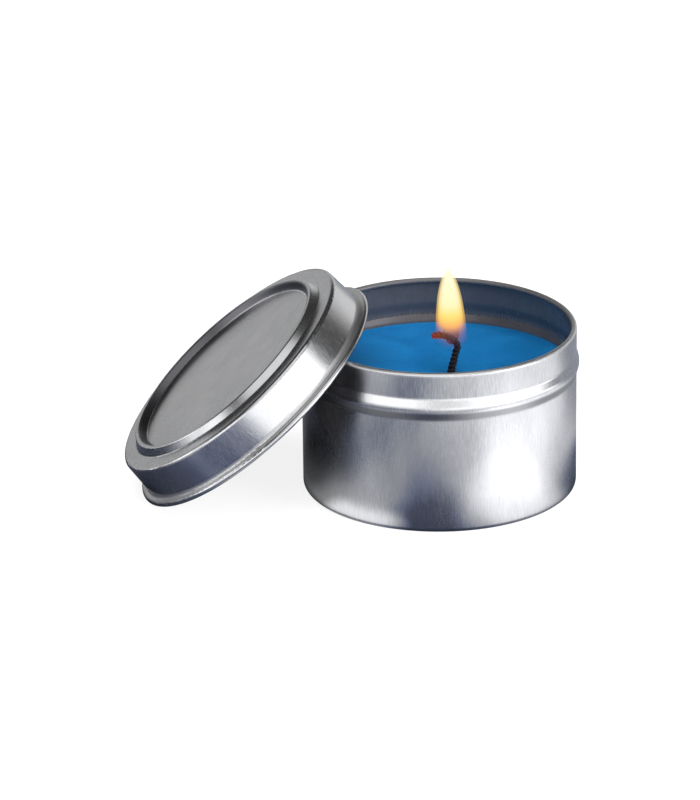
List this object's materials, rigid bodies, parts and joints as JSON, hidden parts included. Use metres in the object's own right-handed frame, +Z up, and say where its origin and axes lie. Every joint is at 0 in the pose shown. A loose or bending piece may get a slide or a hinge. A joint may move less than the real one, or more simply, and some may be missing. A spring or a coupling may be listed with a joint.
{
  "type": "candle tin",
  "caption": "Round tinplate candle tin filled with blue wax and a braided wick; its slip-on lid leans on the rim and lifts off.",
  "frame": {"origin": "middle of the tin's base, on the surface it stands on", "axes": "+Z up along the tin's axis; -X towards the leaning lid, which is symmetric about the XZ plane; the side usually seen is -Y"},
  "size_m": [0.1079, 0.0706, 0.0515],
  "materials": {
    "tinplate_body": "satin tinplate with a faint vertical draw grain, bright on the rolled rim and the bead",
    "tinplate_lid": "satin tinplate, matt centre panel, bright on the raised ring and the hem",
    "wax": "smooth opaque mid-blue candle wax with a slight sheen",
    "wick_cotton": "braided cotton, charred black below the bend and glowing brown-red at the tip",
    "sustainer_metal": "plain tinned steel",
    "sticker_foam": "white adhesive foam dot"
  },
  "bodies": {
    "tin": {"tin_body": "tinplate_body", "wax": "wax", "wick": "wick_cotton", "wick_sustainer": "sustainer_metal", "wick_sticker": "sticker_foam"},
    "lid": {"lid": "tinplate_lid"}
  },
  "joints": [
    {"name": "lid_lift", "type": "slide", "parent": "tin", "child": "lid", "axis": [-0.6488, 0, 0.761], "range_m": [0, 0.06]}
  ]
}
